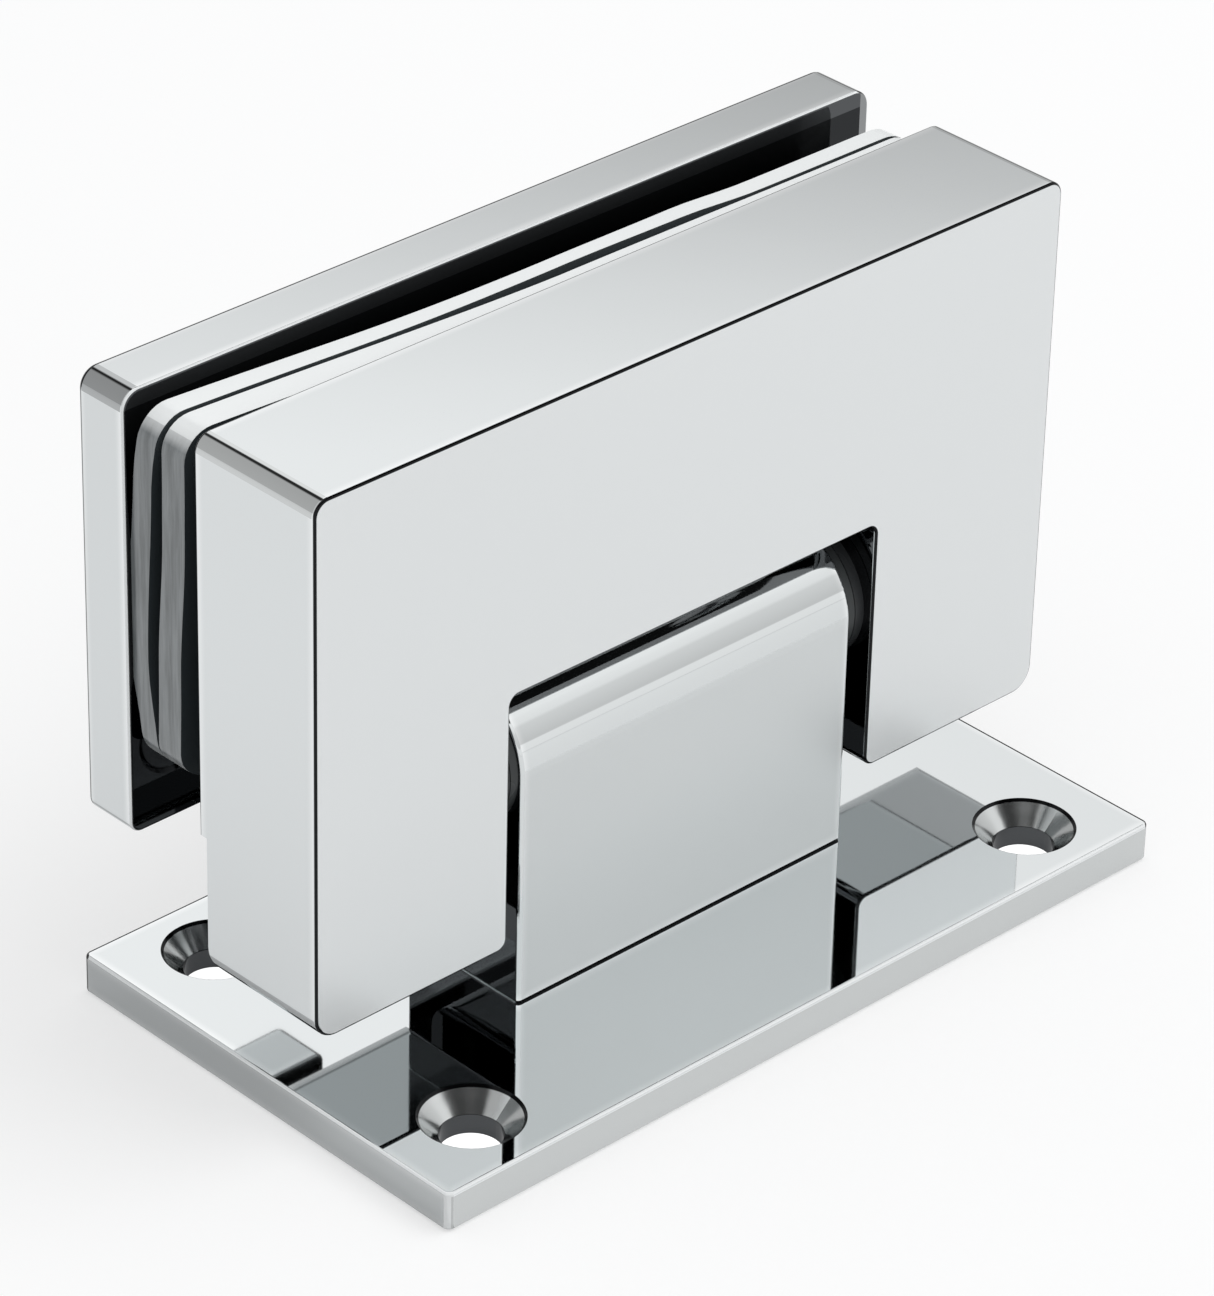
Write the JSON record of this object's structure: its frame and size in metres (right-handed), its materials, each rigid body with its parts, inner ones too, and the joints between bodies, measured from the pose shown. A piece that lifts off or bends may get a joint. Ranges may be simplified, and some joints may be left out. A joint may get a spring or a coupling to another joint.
{
  "type": "glass door hinge",
  "caption": "Wall-mounted hinge for a frameless glass door: a flat wall plate with a rounded pivot block, and a two-plate clamp that grips the glass and swings both ways.",
  "frame": {"origin": "centre of the wall plate's back face, where it meets the wall", "axes": "+X along the pivot and the wall plate's long side, +Z out of the wall along the clamp's plates, +Y from the thick clamp body towards the cover plate"},
  "size_m": [0.091, 0.05, 0.066],
  "materials": {
    "chrome_plate": "polished chrome plate on cast brass",
    "steel": "bright stainless steel",
    "spring_steel": "drawn spring wire",
    "white_plastic": "moulded, slippery",
    "grey_plastic": "moulded, slippery",
    "gasket": "soft, glossy and milky, slightly see-through"
  },
  "bodies": {
    "wall_mount": {"wall_plate": "chrome_plate", "pivot_block": "chrome_plate", "spring_seat": "steel", "block_screw_left": "steel", "block_screw_right": "steel", "bush_left": "white_plastic", "bush_right": "white_plastic", "spring_left": "spring_steel", "spring_right": "spring_steel"},
    "cam_follower": {"pressure_bar": "steel"},
    "leaf": {"clamp_body": "chrome_plate", "cover_plate": "chrome_plate", "pivot_shaft": "steel", "front_gasket": "gasket", "back_gasket": "gasket", "shaft_keeper_left": "steel", "shaft_keeper_right": "steel", "thrust_washer_left": "grey_plastic", "thrust_washer_right": "grey_plastic", "cover_screw_left": "steel", "cover_screw_right": "steel", "screw_sleeve_left": "white_plastic", "screw_sleeve_right": "white_plastic", "keeper_screw_left_lower": "steel", "keeper_screw_left_upper": "steel", "keeper_screw_right_lower": "steel", "keeper_screw_right_upper": "steel"}
  },
  "joints": [
    {"name": "leaf_swing", "type": "hinge", "parent": "wall_mount", "child": "leaf", "pos_m": [0, 0, 0.028], "axis": [1, 0, 0], "range_deg": [-90, 90]},
    {"name": "follower_slide", "type": "slide", "parent": "wall_mount", "child": "cam_follower", "axis": [0, 0, 1], "range_m": [0, 0.0006], "stiffness_N_per_m": 1500, "springref_m": 0.007, "deforming": ["spring_left", "spring_right"]}
  ]
}
